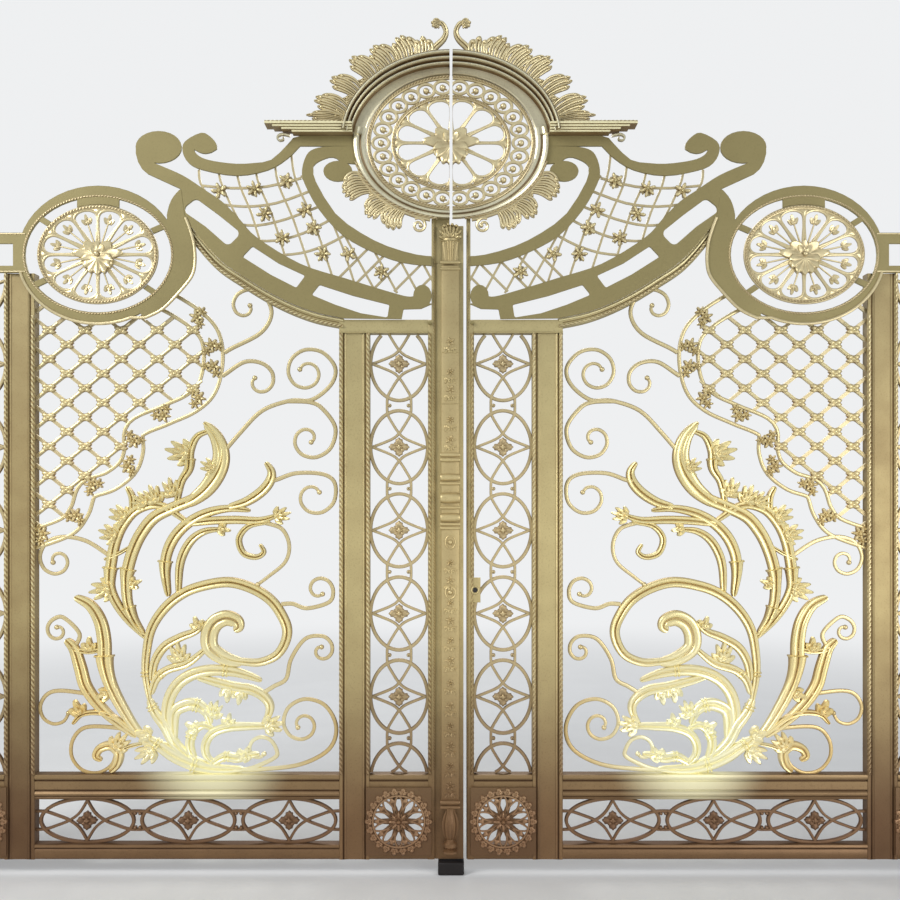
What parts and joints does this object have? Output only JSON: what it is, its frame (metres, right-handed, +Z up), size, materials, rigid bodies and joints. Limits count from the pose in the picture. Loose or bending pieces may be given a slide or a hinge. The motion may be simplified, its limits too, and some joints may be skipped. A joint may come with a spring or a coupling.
{
  "type": "wrought iron driveway gate",
  "caption": "Two-leaf gilded iron driveway gate with scrollwork panels, oval side panels, cut crest plates, round medallions and square posts.",
  "frame": {"origin": "centre of the underside of the left post's base plate, on the ground", "axes": "+X along the gate towards the right post, +Z up; the front faces -Y and the leaves open towards +Y"},
  "size_m": [4.682, 0.26, 3.4247],
  "materials": {
    "post_gold": "satin gold paint",
    "frame_gold": "satin gold paint",
    "panel_gold": "satin gold paint",
    "plate_gold": "smooth pale gold paint",
    "scroll_gold": "satin gold paint",
    "bright_gold": "brighter gold paint on castings",
    "black_iron": "dull black"
  },
  "bodies": {
    "root": {"left_post": "post_gold", "right_post": "post_gold", "base_plates": "post_gold", "post_caps": "post_gold", "hinge_brackets": "post_gold", "floor_stop": "black_iron"},
    "left_leaf": {"left_stiles": "frame_gold", "left_meeting_stile": "frame_gold", "left_rails": "frame_gold", "left_hinge_knuckles": "frame_gold", "left_oval_panels": "panel_gold", "left_low_panel": "panel_gold", "left_corner_rosettes": "frame_gold", "left_lattice": "scroll_gold", "left_ribbon": "scroll_gold", "left_scrolls": "scroll_gold", "left_acanthus": "bright_gold", "left_ring_plate": "plate_gold", "left_side_medallion": "bright_gold", "left_top_plate": "plate_gold", "left_crest_lattice": "plate_gold", "left_centre_medallion": "bright_gold", "left_arch": "frame_gold", "left_cresting": "frame_gold", "cover_column": "frame_gold"},
    "right_leaf": {"right_stiles": "frame_gold", "right_meeting_stile": "frame_gold", "right_rails": "frame_gold", "right_hinge_knuckles": "frame_gold", "right_oval_panels": "panel_gold", "right_low_panel": "panel_gold", "right_corner_rosettes": "frame_gold", "right_lattice": "scroll_gold", "right_ribbon": "scroll_gold", "right_scrolls": "scroll_gold", "right_acanthus": "bright_gold", "right_ring_plate": "plate_gold", "right_side_medallion": "bright_gold", "right_top_plate": "plate_gold", "right_crest_lattice": "plate_gold", "right_centre_medallion": "bright_gold", "right_arch": "frame_gold", "right_cresting": "frame_gold", "lock_case": "frame_gold"}
  },
  "joints": [
    {"name": "left_leaf_swing", "type": "hinge", "parent": "root", "child": "left_leaf", "pos_m": [0.095, 0.05, 0], "axis": [0, 0, 1], "range_deg": [0, 90]},
    {"name": "right_leaf_swing", "type": "hinge", "parent": "root", "child": "right_leaf", "pos_m": [4.327, 0.05, 0], "axis": [0, 0, -1], "range_deg": [0, 90]}
  ]
}
